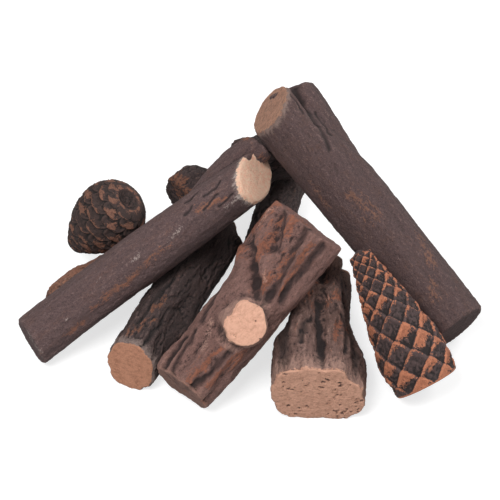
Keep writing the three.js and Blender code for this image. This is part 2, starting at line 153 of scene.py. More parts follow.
class Finish(Nodes):
    """The paint of a piece or of the floor."""

    def __init__(self, name):
        self.material = bpy.data.materials.new(name)
        self.material.use_nodes = True
        super().__init__(self.material.node_tree)
        self.shader = next(n for n in self.tree.nodes if n.type == "BSDF_PRINCIPLED")

    def number(self, name):
        """A number stored at the points of the piece."""
        return Wire(self, self.node("ShaderNodeAttribute", {"attribute_name": name}).outputs["Fac"])

    def place(self, stretch=(1, 1, 1)):
        """Places on the piece in centimetres, drawn out along the grain where the first share is small."""
        stored = self.node("ShaderNodeAttribute", {"attribute_name": "grain"})
        places = Wire(self, stored.outputs["Vector"])
        drawn = self.node("ShaderNodeVectorMath", {"operation": "MULTIPLY"}, places, stretch)
        return Wire(self, drawn.outputs[0])

    def speckle(self, place, scale, detail=4.0, rough=0.6, warp=0.0):
        """Noise around 0, mostly between -1 and 1."""
        sockets = dict(Vector=place, Scale=scale, Detail=detail, Roughness=rough, Distortion=warp)
        node = self.node("ShaderNodeTexNoise", {}, **sockets)
        return (Wire(self, node.outputs[0]) - 0.5) * 5

    def mixed(self, factor, first, second):
        """The first colour where the factor is 0 and the second where it is 1."""
        node = self.node("ShaderNodeMix", {"data_type": "RGBA"}, factor, first, second)
        return Wire(self, next(socket for socket in node.outputs if socket.enabled))

    def colour(self, value):
        self.put(self.shader.inputs["Base Color"], value)

    def roughness(self, value):
        self.put(self.shader.inputs["Roughness"], value)

    def bumps(self, height, distance):
        """Relief too fine for the mesh, with the height of its highest bumps in mm."""
        bump = self.node("ShaderNodeBump", {}, Height=height, Distance=distance * MM)
        self.put(self.shader.inputs["Normal"], Wire(self, bump.outputs[0]))


# Places of the pieces

# Middle of the near face in mm, turn about the vertical and tilt of the far end, in degrees.
LIES = {
    "front_right_log": ((60.0, -140.5, 31.0), 88, 0),
    "front_left_log": ((-106.2, -99.2, 23.0), 65, 0),
    "middle_base_log": ((2.0, -40.5, 23.0), 80, 0),
    "back_left_log": ((-173.0, -17.0, 18.0), 40, 0),
    "back_knobbly_log": ((-63.0, 63.5, 68.3), 31, 1.5),
    "left_long_log": ((-196.0, -69.5, 22.7), 31, 20.8),
    "right_forked_log": ((186.0, -58.5, 28.1), 134, 26.9),
    "centre_stub_log": ((-60.4, -127.5, 25.2), 41, 32.1),
    "right_pine_cone": ((156.0, -117.4, 21.1), 128, 41),
    "left_pine_cone": ((-161.0, 51.5, 26.0), -7, 51),
}


def axes_of(name):
    """The near face's middle and the piece's own axes: along, across and up."""
    foot, turn, tilt = LIES[name]
    turn, tilt = math.radians(turn), math.radians(tilt)
    along = np.array([math.cos(turn) * math.cos(tilt), math.sin(turn) * math.cos(tilt), math.sin(tilt)])
    across = np.array([-math.sin(turn), math.cos(turn), 0.0])
    up = np.cross(along, across)
    return np.array(foot), np.stack([along, across, up])


# Skins of the logs


def points_of(mesh):
    values = np.zeros(len(mesh.vertices) * 3)
    mesh.vertices.foreach_get("co", values)
    return values.reshape(-1, 3) / MM


def move_points(mesh, points):
    mesh.vertices.foreach_set("co", (points * MM).ravel())
    mesh.update()


def edges_of(mesh):
    values = np.zeros(len(mesh.edges) * 2, int)
    mesh.edges.foreach_get("vertices", values)
    return values.reshape(-1, 2)


def facings_of(mesh):
    values = np.zeros(len(mesh.vertices) * 3)
    mesh.vertices.foreach_get("normal", values)
    return values.reshape(-1, 3)


def store(mesh, name, values):
    kind = "FLOAT_VECTOR" if values.ndim == 2 else "FLOAT"
    attribute = mesh.attributes.new(name, kind, "POINT")
    attribute.data.foreach_set("vector" if values.ndim == 2 else "value", values.astype(np.float32).ravel())


def around(values, edges):
    """The mean of each point's neighbours."""
    count = np.bincount(edges.ravel(), minlength=len(values))
    columns = values.reshape(len(values), -1)
    total = [
        np.bincount(edges[:, 0], column[edges[:, 1]], len(values))
        + np.bincount(edges[:, 1], column[edges[:, 0]], len(values))
        for column in columns.T
    ]
    return (np.stack(total, axis=1) / count[:, None]).reshape(values.shape)


def eased(values, edges, times, weight=1.0):
    """Each point's value moved towards its neighbours', so that facets and corners go."""
    for _ in range(times):
        step = 0.5 * (around(values, edges) - values)
        values = values + (step * weight if np.isscalar(weight) else step * weight[:, None])
    return values


def smooth(value, low, high):
    share = np.clip((value - low) / (high - low), 0, 1)
    return share * share * (3 - 2 * share)


def fractal(places, octaves=4, rough=0.55):
    """Smooth noise, mostly between -1 and 1, at each place."""
    fade = -math.log2(rough)
    basis = "PERLIN_ORIGINAL"
    return np.array([noise.fractal(Vector(p), fade, 2.0, octaves, noise_basis=basis) for p in places])


def stroke(local, radius, sway, start, end, width):
    """1 along a wavy line on the bark and fading to 0 over its width. Its ends are a reach and an angle."""
    angle = np.degrees(np.arctan2(local[:, 2], local[:, 1]))
    to_mm = math.radians(1) * radius
    turned = (angle - start[1] + 180) % 360 - 180
    way = np.array([end[0] - start[0], (end[1] - start[1]) * to_mm])
    off = np.stack([local[:, 0] - start[0], turned * to_mm], axis=1) + sway
    share = np.clip(off @ way / max(way @ way, 1e-6), 0, 1)
    aside = np.linalg.norm(off - share[:, None] * way, axis=1)
    return np.exp(-((aside / width) ** 2))


def flats_of(mesh, least=350.0, same_way=0.9985, same_plane=0.3):
    """How each flat of a solid faces, its middle and its radius, for flats of at least so many square mm."""
    points = points_of(mesh)
    mesh.calc_loop_triangles()
    corners = np.zeros(len(mesh.loop_triangles) * 3, int)
    mesh.loop_triangles.foreach_get("vertices", corners)
    corners = corners.reshape(-1, 3)
    a, b, c = (points[corners[:, i]] for i in range(3))
    facing = np.cross(b - a, c - a)
    area = np.linalg.norm(facing, axis=1) / 2
    facing /= np.maximum(2 * area, 1e-9)[:, None]
    middle = (a + b + c) / 3
    free = area > 1
    flats = []
    for largest in np.argsort(-area):
        if not free[largest]:
            continue
        off_plane = np.abs((middle - middle[largest]) @ facing[largest])
        same = (facing @ facing[largest] > same_way) & (off_plane < same_plane) & free
        free[same] = False
        if area[same].sum() < least:
            continue
        centre = (middle[same] * area[same, None]).sum(0) / area[same].sum()
        radius = np.linalg.norm(points[corners[same]].reshape(-1, 3) - centre, axis=1).max()
        flats.append((facing[largest], centre, radius))
    return flats


def fine_skin(name):
    """A copy of the solid with evenly spaced points."""
    rough = bpy.data.objects.new(name + "_rough", frame["nodes"][name].data.copy())
    bpy.context.scene.collection.objects.link(rough)
    remesh = rough.modifiers.new("even", "REMESH")
    remesh.mode = "VOXEL"
    remesh.voxel_size = SKIN_STEP * MM
    mesh = bpy.data.meshes.new_from_object(rough.evaluated_get(bpy.context.evaluated_depsgraph_get()))
    bpy.data.objects.remove(rough)
    mesh.polygons.foreach_set("use_smooth", [True] * len(mesh.polygons))
    return mesh


def slabs(places, seed, lump, slab, ripple, stretch):
    """Depth of the bark below the solid in mm: swollen lumps, split slabs and fine ripples."""
    lump_size, slab_size, ripple_size = 24, 11, 3.6
    offset = np.array([seed * 7.3, seed * 3.1, -seed * 5.7])
    drawn = places * np.array([1 / stretch, 1, 1])
    lumps = fractal(drawn / lump_size + offset, 3, 0.5)
    plates = fractal(drawn / slab_size + offset * 2 + lumps[:, None] * 0.3, 4, 0.55)
    ripples = fractal(places * np.array([0.45, 1, 1]) / ripple_size + offset * 3, 3, 0.6)
    crack = 1 - smooth(np.abs(plates), 0.02, 0.16)
    terrace = smooth(-plates, -0.05, 0.10)
    swollen = lump * smooth(-lumps, -0.5, 0.5)
    split = slab * (0.62 * crack + 0.38 * terrace)
    return swollen + split + ripple * smooth(-ripples, -0.6, 0.6)


def add_piece(name, suffix, mesh, finish, slot):
    piece = bpy.data.objects.new(name + suffix, mesh)
    bpy.context.scene.collection.objects.link(piece)
    mesh.materials.clear()
    mesh.materials.append(finish)
    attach(piece, frame["nodes"][name]["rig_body"])
    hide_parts(name)


def pits_at(local, seed, share):
    """1 in the small holes that the cast leaves in patches of a sawn face, for a share of its area."""
    if not share:
        return np.zeros(len(local))
    warp_size, patch_size, hole_size = 3.5, 9, 0.42
    pits_per_mm = np.array([0.4, 0.2, 0.3])
    warp = fractal(local / warp_size + seed * 2.9, 2, 0.6)
    places = local * pits_per_mm + warp[:, None] * 0.35 + seed * 11.0
    near = np.array([noise.voronoi(Vector(p), distance_metric="DISTANCE")[0][0] for p in places])
    where = fractal(local / patch_size + seed * 5.3, 3, 0.6)
    first, last = 0.42 - share * 0.5, 0.85 - share * 0.5
    return smooth(hole_size - near, 0.0, 0.2) * smooth(where + warp * 0.4, first, last)


def bitten(points, face, depth, axes, bites):
    """The points with bites taken out of the rim of a sawn face, each with an angle, a spread and a depth."""
    facing, centre, radius = face
    across_log = abs(axes[0] @ facing) > 0.9
    upright = np.cross(facing, axes[1] if across_log else axes[0])
    outward = points - centre + depth[:, None] * facing
    aside = np.linalg.norm(outward, axis=1)
    spin = np.degrees(np.arctan2(outward @ upright, outward @ np.cross(upright, facing)))
    on_rim = smooth(aside, radius * 0.5, radius * 0.9) * (1 - smooth(aside, radius + 2, radius + 8))
    on_rim = on_rim * np.exp(-((np.maximum(depth, 0) / BITE_DEPTH) ** 2)) * (depth > -FACE_BAND)
    for turn, spread, deep in bites:
        off = (spin - turn + 180) % 360 - 180
        bite = deep * on_rim * np.exp(-((off / spread) ** 2))
        points = points - outward / np.maximum(aside, 1)[:, None] * bite[:, None]
    return points


def sawn_faces(name, points, axes, foot, bare, bites):
    """The bitten points, how far each lies below a bare face, how bare it is and whether a flat is there."""
    below = np.full(len(points), FAR_BELOW)
    bareness = np.zeros(len(points))
    level = np.zeros(len(points))
    for face in flats_of(frame["nodes"][name].data):
        facing, centre, radius = face
        depth = (centre - points) @ facing
        aside = np.linalg.norm(points - centre + depth[:, None] * facing, axis=1)
        near = (depth > -FACE_BAND) & (aside < radius + FACE_MARGIN)
        own = bare(axes @ facing, axes @ (centre - foot))
        if facing[2] > LOOKS_DOWN and not own:
            continue
        level[near & (depth < ON_FACE)] = 1
        if own:
            points = bitten(points, face, depth, axes, bites)
            here = near & (np.maximum(depth, 0) < below)
            below[here] = np.maximum(depth[here], 0)
            bareness[here] = own
    return points, below, bareness, level


def log_skin(
    name,
    seed,
    radius,
    bark,
    bare,
    grooves=(),
    dents=(),
    bites=(),
    covered=(),
    rust_and_shade=(),
    chalky=(),
    sawn=0.3,
    pitted=0.0,
):
    """The log's skin with its bark, and what its paint needs to know at each point.
    Grooves and the rust and chalky marks are strokes, each with a start and an end as a reach and an angle;
    one rust stroke on the left log is painted shade on its bare face.
    Dents are round hollows, bites are taken from a sawn face's rim, and covered is bark over a bare face."""
    mesh = fine_skin(name)
    edges = edges_of(mesh)
    foot, axes = axes_of(name)
    points, below, bareness, level = sawn_faces(name, points_of(mesh), axes, foot, bare, bites)
    points = eased(points, edges, 8, 1 - 0.75 * level)

    local = (points - foot) @ axes.T
    for middle, reach in covered:
        away = np.linalg.norm(local - np.array(middle), axis=1)
        bareness = bareness * smooth(away, reach - 1.5, reach + 0.5)
    depth = slabs(local, seed, **bark)
    sway = np.stack([fractal(local / 13 + seed * 2.3 + 40 * i, 2, 0.5) for i in (1, 2)], axis=1)
    sway = GROOVE_SWAY * sway
    valley = np.zeros(len(points))
    for start, end, width, deep in grooves:
        cut = stroke(local, radius, sway, start, end, width)
        depth = depth + deep * cut
        valley = np.maximum(valley, cut)

    # A sawn face has only pits and chips, and its rim is chipped most.
    flat = smooth(eased(level, edges, 5), 0.35, 0.95)
    chips = fractal(local / 5 + seed * 1.7, 3, 0.6)
    pit = pits_at(local, seed, pitted) * level
    depth = depth * (1 - flat) + flat * (sawn * smooth(-chips, -0.5, 0.6) + PIT_DEPTH * pit)
    on_rim = 4 * flat * (1 - flat)
    depth = depth + on_rim * RIM_CHIP * smooth(chips, -0.2, 0.5)
    for middle, reach, deep in dents:
        away = np.sum((local - np.array(middle)) ** 2, axis=1)
        depth = depth + deep * np.exp(-away / reach**2) * (1 - flat)
    move_points(mesh, points)
    facings = eased(facings_of(mesh), edges, 4)
    facings /= np.linalg.norm(facings, axis=1)[:, None]
    points = points - facings * depth[:, None]
    points[:, 2] = np.maximum(points[:, 2], HEARTH_GAP)
    move_points(mesh, points)

    # How far each point stands above its surroundings, near and wide, which sets the wear and the painted
    # shade in hollows.
    near_mean = eased(points, edges, 4)
    wide_mean = eased(near_mean, edges, 22)
    store(mesh, "grain", local / CM + seed * 3.7)
    wear_and_shade = eased(np.sum((points - near_mean) * facings, axis=1), edges, 1)
    store(mesh, "wear_and_shade", wear_and_shade / WEAR_AND_SHADE_HEIGHT)
    store(mesh, "relief", np.sum((near_mean - wide_mean) * facings, axis=1) / RELIEF_HEIGHT)
    store(mesh, "below", below)
    store(mesh, "bare", bareness)
    store(mesh, "pit", pit)
    store(mesh, "rim", 1 - smooth(eased(level, edges, 30), 0.5, 0.95))
    store(mesh, "valley", valley)
    for mark, strokes in (("rust_and_shade", rust_and_shade), ("chalky", chalky)):
        values = [stroke(local, radius, sway, *item) for item in strokes]
        store(mesh, mark, np.max(values, axis=0) if values else np.zeros(len(points)))
    return mesh


# Finishes


def bark_finish(
    name,
    deep,
    dark,
    mid,
    light,
    rust,
    rust_shade,
    face,
    face_shade,
    chalk,
    rust_level,
    chalk_level=1.9,
    dust=7.0,
    freckled=0.0,
    browned=0.45,
    torn=1.0,
    rimmed=0.0,
    specked=0.6,
    drag=(1.2, 0.6, 1.4),
):
    """Cast bark: painted shade darkening the cracks, grooves and hollows, mid slabs, dry brushed rust and
    chalk on what stands out, and bare sawn faces.
    Lower levels give more rust and chalk, and a sawn face's dust reaches so many mm over the bark."""
    f = Finish(name)
    drawn = f.place((0.4, 1, 1))
    even = f.place()
    wear_and_shade, relief, below, bare, valley, rust_and_shade, chalky, rim = (
        f.number(mark) for mark in ("wear_and_shade", "relief", "below", "bare", "valley", "rust_and_shade", "chalky", "rim")
    )
    wide = f.speckle(drawn, 0.9, 3.0, 0.55, 0.4)
    patch = f.speckle(drawn, 2.6, 4.0, 0.65, 0.5)
    fine = f.speckle(f.place((0.7, 1, 1)), 4.2, 4.0, 0.75, 0.3)
    grain = f.speckle(even, 6.5, 3.0, 0.8)
    grit = f.speckle(even, 14.0, 2.0, 0.8)

    # The bark's own paint, from dark to light, with brown patches and light freckles
    tone = grain * 0.75 + fine * 0.45 + grit * 0.45 + relief * 0.45 + wear_and_shade * 0.5 + wide * 0.12
    skin = f.mixed(tone.between(-1.2, 0.2), dark, mid)
    skin = f.mixed(tone.between(0.25, 1.5) * 0.95, skin, light)
    brown = f.mixed((fine * 0.4 + grain * 0.5 + grit * 0.3).between(-1.0, 0.8), dark, rust_shade)
    skin = f.mixed((wide * 0.5 + patch * 0.5 + fine * 0.45).between(-0.2, 1.2) * browned, skin, brown)
    spots = f.speckle(even, 4.6, 3.0, 0.8, 0.4) + grit * 0.35 + patch * 0.2
    skin = f.mixed(spots.between(1.0, 1.7) * freckled, skin, light)

    # Painted shade: the grooves, and the hollows lying below their surroundings, are darkened
    skin = f.mixed((valley + fine * 0.15 + patch * 0.1).between(0.15, 0.9) * 0.8, skin, dark)
    hollow_shade = valley * 0.35 - relief * 0.4 - wear_and_shade * 0.5 + fine * 0.15 + patch * 0.1
    skin = f.mixed(hollow_shade.between(0.25, 1.15) * 0.85, skin, deep)

    # Rust and chalk, brushed over what stands out
    brushed = fine * 0.6 + grain * 0.45 + patch * 0.45 + wide * 0.3 + wear_and_shade * 0.4 + relief * 0.25
    brushed = brushed + rust_and_shade * 1.5 - valley * 0.9
    rusted = f.mixed((fine * 0.4 + grain * 0.4 + wear_and_shade * 0.3).between(-0.5, 0.7), rust_shade, rust)
    skin = f.mixed(brushed.between(rust_level, rust_level + 0.7) * 0.85, skin, rusted)
    dusted = grain * 0.6 + grit * 0.4 + fine * 0.45 + wear_and_shade * 0.5 + patch * 0.3 + chalky * 2.0
    skin = f.mixed(dusted.between(chalk_level, chalk_level + 0.8) * 0.8, skin, chalk)
    near = (dust - below + patch * 2.5 + fine * 1.5).between(0.0, dust) * bare
    near = near * (wear_and_shade * 0.3 + grain * 0.3 + 0.95)
    skin = f.mixed(near.between(0.0, 1.1) * (patch * 0.15 + 0.6), skin, chalk)

    # The bare cast of a sawn face, with dark pits and specks and a brown rim
    streak = f.speckle(f.place(drag), 2.6, 5.0, 0.7, 0.6)
    cast = streak * 0.7 + patch * 0.5 + grain * 0.4 + grit * 0.3 + wear_and_shade * 0.3 + 0.3
    bare_skin = f.mixed(cast.between(-1.0, 0.9), face_shade, face)
    pit = (f.number("pit") + grit * 0.14 + fine * 0.1).between(0.25, 0.8)
    bare_skin = f.mixed(pit * 0.8, bare_skin, dark)
    specks = (fine * -0.6 - grain * 0.7 - wear_and_shade * 0.5).between(1.0, 1.7)
    bare_skin = f.mixed(specks * specked, bare_skin, dark)
    # Rust strokes brown a bare face; on the left log one stroke is painted shade over the rounded edge of its
    # bare face
    bare_skin = f.mixed((rust_and_shade + fine * 0.12 + patch * 0.1).between(0.1, 0.9) * 0.75, bare_skin, rust_shade)
    browned_rim = (rim + fine * 0.25 + grain * 0.2).between(0.5, 1.2) * 0.5 * rimmed
    bare_skin = f.mixed(browned_rim, bare_skin, rust_shade)

    # The bark ends raggedly at the rim of a sawn face
    ragged = below + (fine * 1.2 + patch * 0.9) * torn - wear_and_shade * 0.8 + rim * 3.0 * rimmed
    edge = (BARK_END - ragged).between(-0.4, 0.8) * bare.between(0.1, 0.6)
    f.colour(f.mixed(edge, skin, bare_skin))
    f.roughness(fine * 0.05 + 0.74)
    f.bumps(fine * 0.3 + grain * 0.5 + grit * 0.3, BUMP_HEIGHT)
    return f.material


def scale_finish(name, deep, dark, mid, rust, rust_shade, ragged, patchy):
    """Cast cone scales: dark, with painted shade at their low roots and in hollows, and rust paint brushed
    over their raised ends.
    """
    f = Finish(name)
    even = f.place()
    brush, wear_and_shade, rise = (f.number(mark) for mark in ("brush", "wear_and_shade", "rise"))
    patch = f.speckle(even, 2.2, 4.0, 0.65, 0.5)
    fine = f.speckle(even, 6.0, 5.0, 0.7, 0.4)
    grain = f.speckle(even, 9.0, 2.0, 0.7)
    grit = f.speckle(even, 18.0, 2.0, 0.6)
    skin = f.mixed((fine * 0.4 + grain * 0.3 + grit * 0.2 + wear_and_shade * 0.5).between(-0.8, 1.2), dark, mid)
    # Painted shade in the deep colour at the low roots of the scales, under the scale above, and in hollows
    skin = f.mixed((fine * 0.15 - wear_and_shade * 0.6 - rise * 2.2 + 1.0).between(0.0, 0.9) * 0.9, skin, deep)
    reach = brush + patch * ragged + fine * ragged * 0.9 + grain * ragged * 0.4 + wear_and_shade * 0.08
    cover = 1.4 - fine * patchy - grain * patchy * 0.5 + wear_and_shade * 0.2
    brushed = reach.between(-0.02, 0.16) * cover.between(0.0, 1.0)
    orange = f.mixed((fine * 0.4 + grain * 0.4 + wear_and_shade * 0.4).between(-0.7, 0.6), rust_shade, rust)
    f.colour(f.mixed(brushed, skin, orange))
    f.roughness(fine * 0.05 + 0.74)
    f.bumps(fine * 0.35 + grain * 0.3 + grit * 0.2 + brushed * 0.4, SCALE_BUMP_HEIGHT)
    return f.material


# The logs


def ends(near=0.0, far=0.0, side=0.0):
    """How bare each flat of a log is, from the way it faces."""

    def bareness(facing, _centre):
        if facing[0] < -0.6:
            return near
        return far if facing[0] > 0.5 else side * (facing[2] > -0.5)

    return bareness


def left_log_ends(facing, centre):
    """Only the front prong's sawn face is bare."""
    return 1.0 if facing[0] > 0.5 and centre[1] < 12 else 0.0


def right_log_ends(facing, centre):
    """Only the front prong's sawn face is bare."""
    return 1.0 if facing[0] > 0.5 and centre[1] > 0 else 0.0


def centre_log_ends(facing, _centre):
    """The stub is bare, the near end is nearly all painted over and the head is bark all over."""
    if facing[0] < -0.6:
        return 0.2
    return 1.0 if facing[2] > 0.6 else 0.0


SMOOTH_BARK = dict(lump=0.5, slab=0.22, ripple=0.5, stretch=3.5)
ROUGH_BARK = dict(lump=1.2, slab=1.7, ripple=0.8, stretch=2.4)
SPLIT_BARK = dict(lump=2.0, slab=0.5, ripple=0.6, stretch=1.6)

# In each set of tones, deep is the colour of the painted shade in hollows, and dark also paints the shade in
# the grooves
DARK_TONES = dict(
    deep=paint(20, 14, 14),
    dark=paint(40, 29, 28),
    mid=paint(74, 58, 56),
    light=paint(112, 90, 86),
    rust=paint(142, 92, 68),
    rust_shade=paint(94, 62, 50),
    chalk=paint(158, 138, 130),
)
PURPLE_TONES = dict(
    deep=paint(44, 32, 32),
    dark=paint(58, 43, 43),
    mid=paint(99, 77, 76),
    light=paint(148, 121, 116),
    rust=paint(160, 104, 78),
    rust_shade=paint(118, 80, 66),
)
RUST_TONES = dict(
    deep=paint(44, 30, 29),
    dark=paint(70, 48, 45),
    rust=paint(168, 102, 74),
    rust_shade=paint(122, 76, 60),
    chalk=paint(196, 156, 140),
)

LOGS = {
    "front_right_log": dict(
        slot="red_brown_bark",
        radius=38,
        bark=dict(ROUGH_BARK, lump=1.6, slab=1.0, stretch=1.6),
        bare=ends(near=1.0, far=0.6),
        grooves=[
            ((5, 42), (60, 40), 7.0, 2.4),
            ((30, 132), (70, 128), 4.0, 2.0),
            ((34, 64), (66, 76), 4.0, 2.4),
            ((2, 150), (40, 160), 5.0, 1.5),
            ((3, 95), (80, 85), 3.2, 1.7),
            ((34, 150), (110, 142), 8.0, 0.9),
        ],
        rust_and_shade=[
            ((76, 84), (92, 120), 6),
            ((56, 128), (66, 150), 6),
            ((96, 60), (110, 90), 9),
            ((40, 112), (58, 116), 5),
        ],
        chalky=[((44, 98), (50, 106), 4), ((84, 96), (88, 102), 3)],
        pitted=1.0,
        finish=dict(
            RUST_TONES,
            deep=paint(34, 24, 24),
            dark=paint(58, 43, 40),
            mid=paint(120, 91, 83),
            light=paint(160, 129, 118),
            face=paint(226, 172, 146),
            face_shade=paint(180, 130, 106),
            rust_level=0.85,
            dust=30.0,
            torn=1.6,
        ),
    ),
    "front_left_log": dict(
        slot="dark_bark",
        radius=26,
        bark=ROUGH_BARK,
        bare=ends(near=1.0, far=0.6),
        grooves=[((2, 108), (60, 118), 3.0, 2.0), ((30, 75), (90, 84), 3.0, 1.6)],
        rust_and_shade=[((16, 70), (40, 96), 5), ((48, 88), (70, 96), 4)],
        chalky=[((5, 70), (5, 120), 7)],
        finish=dict(
            DARK_TONES,
            face=paint(208, 148, 118),
            face_shade=paint(168, 112, 84),
            rust_level=1.1,
            dust=12.0,
            rimmed=1.0,
            specked=0.15,
        ),
    ),
    "middle_base_log": dict(
        slot="dark_bark",
        radius=23,
        bark=dict(ROUGH_BARK, slab=1.4),
        bare=ends(near=0.8, far=0.8),
        finish=dict(DARK_TONES, face=paint(176, 126, 102), face_shade=paint(138, 92, 74), rust_level=1.1),
    ),
    "back_left_log": dict(
        slot="dark_bark",
        radius=20,
        bark=dict(ROUGH_BARK, lump=0.9, slab=0.8),
        bare=ends(near=0.0, far=0.6, side=0.9),
        rust_and_shade=[((4, 40), (30, 70), 12), ((34, 40), (70, 70), 16)],
        chalky=[((14, 78), (16, 84), 4)],
        finish=dict(
            DARK_TONES,
            dark=paint(66, 46, 40),
            mid=paint(124, 90, 78),
            light=paint(160, 120, 102),
            rust=paint(178, 124, 98),
            rust_shade=paint(140, 96, 78),
            face=paint(190, 132, 104),
            face_shade=paint(140, 94, 76),
            rust_level=0.6,
        ),
    ),
    "back_knobbly_log": dict(
        slot="dark_bark",
        radius=24,
        bark=ROUGH_BARK,
        bare=ends(near=0.0, far=0.4),
        rust_and_shade=[((2, 60), (2, 200), 8), ((40, 50), (60, 40), 6)],
        finish=dict(
            DARK_TONES,
            mid=paint(66, 51, 50),
            light=paint(98, 78, 74),
            face=paint(140, 100, 80),
            face_shade=paint(100, 70, 58),
            rust_level=0.95,
        ),
    ),
    "left_long_log": dict(
        slot="purple_grey_bark",
        radius=24,
        bark=SMOOTH_BARK,
        bare=left_log_ends,
        rust_and_shade=[
            ((60, 148), (104, 146), 5),
            ((104, 142), (150, 136), 5),
            ((190, 110), (214, 128), 6),
            ((30, 165), (48, 160), 4),
            # painted shade over the rounded edge of the bare sawn face at the front prong's end
            ((272, -50), (266, 20), 6),
        ],
        covered=[((258, 13, 17), 7), ((264, 21, 15), 9), ((271, 29, 15), 9)],
        grooves=[
            ((194, 118), (212, 108), 1.2, 1.0),
            ((202, 98), (222, 88), 1.4, 1.1),
            ((184, 82), (200, 76), 1.2, 1.0),
            ((206, 136), (224, 130), 1.2, 1.0),
            ((176, 104), (188, 98), 1.2, 0.9),
        ],
        chalky=[
            ((114, 121), (124, 112), 3.5),
            ((150, 130), (168, 122), 5),
            ((212, 152), (228, 140), 8),
            ((34, 140), (40, 136), 2.5),
            ((2, 100), (2, 160), 3.5),
            ((80, 112), (84, 110), 2),
        ],
        finish=dict(
            PURPLE_TONES,
            face=paint(255, 216, 188),
            face_shade=paint(252, 180, 146),
            chalk=paint(196, 180, 172),
            rust_level=1.1,
            freckled=0.6,
            browned=0.5,
            drag=(2.0, 2.0, 0.35),
        ),
    ),
    "right_forked_log": dict(
        slot="purple_grey_bark",
        radius=31,
        bark=SMOOTH_BARK,
        bare=right_log_ends,
        rust_and_shade=[
            ((158, 12), (184, 20), 6),
            ((120, 70), (150, 60), 9),
            ((60, 95), (84, 112), 9),
            ((34, 62), (48, 76), 7),
        ],
        grooves=[
            ((274, 134), (244, 112), 4.2, 4.2),
            ((244, 112), (222, 98), 3.8, 2.8),
            ((222, 98), (196, 80), 3.0, 1.4),
            ((256, 96), (236, 88), 1.6, 1.2),
            ((232, 118), (206, 104), 1.6, 1.0),
        ],
        chalky=[((262, 112), (246, 100), 4), ((256, 30), (262, 60), 4), ((228, 128), (222, 136), 2.5)],
        finish=dict(
            PURPLE_TONES,
            dark=paint(54, 40, 39),
            mid=paint(91, 70, 69),
            light=paint(140, 113, 108),
            face=paint(200, 150, 124),
            face_shade=paint(134, 94, 76),
            chalk=paint(158, 134, 124),
            rust=paint(142, 98, 78),
            rust_shade=paint(106, 76, 66),
            rust_level=1.15,
            chalk_level=2.1,
            freckled=0.55,
            browned=0.8,
            torn=2.2,
            rimmed=0.8,
        ),
    ),
    "centre_stub_log": dict(
        slot="red_brown_bark",
        radius=30,
        bark=SPLIT_BARK,
        sawn=0.6,
        bare=centre_log_ends,
        grooves=[
            ((107, 117), (140, 30), 4.0, 1.8),
            ((110, 140), (184, 104), 5.5, 1.8),
            ((118, 165), (175, 160), 5.0, 1.6),
            ((147, 92), (184, 40), 4.5, 1.6),
            ((4, 134), (52, 149), 4.5, 3.4),
            ((0, 62), (36, 44), 4.0, 3.0),
            ((4, 88), (46, 60), 4.0, 2.6),
            ((58, 62), (86, 40), 4.0, 2.4),
        ],
        bites=[(88, 24, 6.0), (-42, 22, 1.8), (150, 14, 1.5)],
        pitted=0.3,
        dents=[
            ((82, 3, 34), 8, 5.0),
            ((60, -10, 32), 6, 2.5),
            ((86, -40, 30), 7, 3.0),
            ((98, -22, 36), 5, 2.0),
        ],
        rust_and_shade=[
            ((112, 118), (150, 118), 9),
            ((120, 152), (170, 138), 5),
            ((130, 70), (170, 50), 6),
            ((10, 120), (50, 130), 5),
            ((150, 88), (184, 70), 8),
            ((20, 158), (60, 168), 6),
            ((125, 30), (176, 24), 8),
            ((-1, 60), (-1, 180), 3),
        ],
        chalky=[((116, 114), (126, 100), 4), ((40, 100), (62, 80), 7), ((150, 34), (180, 30), 3)],
        finish=dict(
            RUST_TONES,
            face=paint(248, 192, 164),
            face_shade=paint(222, 164, 138),
            mid=paint(134, 99, 91),
            light=paint(166, 127, 115),
            rust_level=0.8,
            chalk_level=1.8,
            dust=26.0,
        ),
    ),
}

for seed, (name, log) in enumerate(LOGS.items(), 1):
    shape = {key: value for key, value in log.items() if key not in ("slot", "finish")}
    skin_mesh = log_skin(name, seed, **shape)
    add_piece(name, "_bark", skin_mesh, bark_finish(name + "_paint", **log["finish"]), log["slot"])


# The pine cones


def cone_outline(size):
    """The cone's radius along its length and the reach of each half row of scales."""

    def radius_at(x):
        if x < size["belly"]:
            back = 1 - x / size["belly"]
            return size["base"] / 2 + (size["width"] - size["base"]) / 2 * math.sqrt(max(0.0, 1 - back**2))
        on = (x - size["belly"]) / (size["length"] - size["belly"])
        return size["width"] / 2 + (size["tip"] - size["width"]) / 2 * on ** size["fullness"]

    rows = [0.0]
    while rows[-1] < size["length"]:
        rows.append(rows[-1] + size["row_share"] * radius_at(min(rows[-1], size["length"])))
    fit = size["length"] / rows[-1]
    half = [0.0]
    for low, high in zip(rows, rows[1:]):
        half += [(low + high) / 2 * fit, high * fit]
    return radius_at, np.array(half)


def overlapping_scales(onward, aside, numbers, roundness, reach):
    """Height and reach of the brushed paint where the scales lie like tiles, each over the roots of the next.
    Onward runs from -1 at a scale's root to 1 at its outer corner and aside from -1 to 1 across it."""
    height = np.zeros_like(onward)
    brush = np.full_like(onward, -1.0)
    for back, shift in ((0, 0), (1, -1), (1, 1), (2, 0)):
        t = onward + back
        s = aside + shift
        side = 1 - np.minimum(np.abs(s), 1)
        outer = 1.05 * (1 - np.minimum(np.abs(s), 1) ** roundness)
        to_edge = outer - t
        row, column = numbers[0] - back, numbers[1] + shift
        uneven = np.modf(np.abs(np.sin(row * 12.9898 + column * 78.233)) * 437.5)[0]
        rise = 0.05 + 0.58 * np.clip((t + 1) / (outer + 1), 0, 1)
        lip = np.exp(-(((to_edge - 0.30) / 0.24) ** 2))
        own = rise + 0.30 * lip + 0.08 * side - 0.12 * uneven
        own_brush = reach * (1.3 * side**0.8 - 0.2) * (0.2 + 1.4 * uneven) * (1 - 0.5 * s) - 0.07 - to_edge
        cover = smooth(to_edge, 0.0, 0.09) * (np.abs(s) < 1)
        height = height + (own - height) * cover
        brush = brush + (own_brush - brush) * (cover > 0.5)
    return height, brush


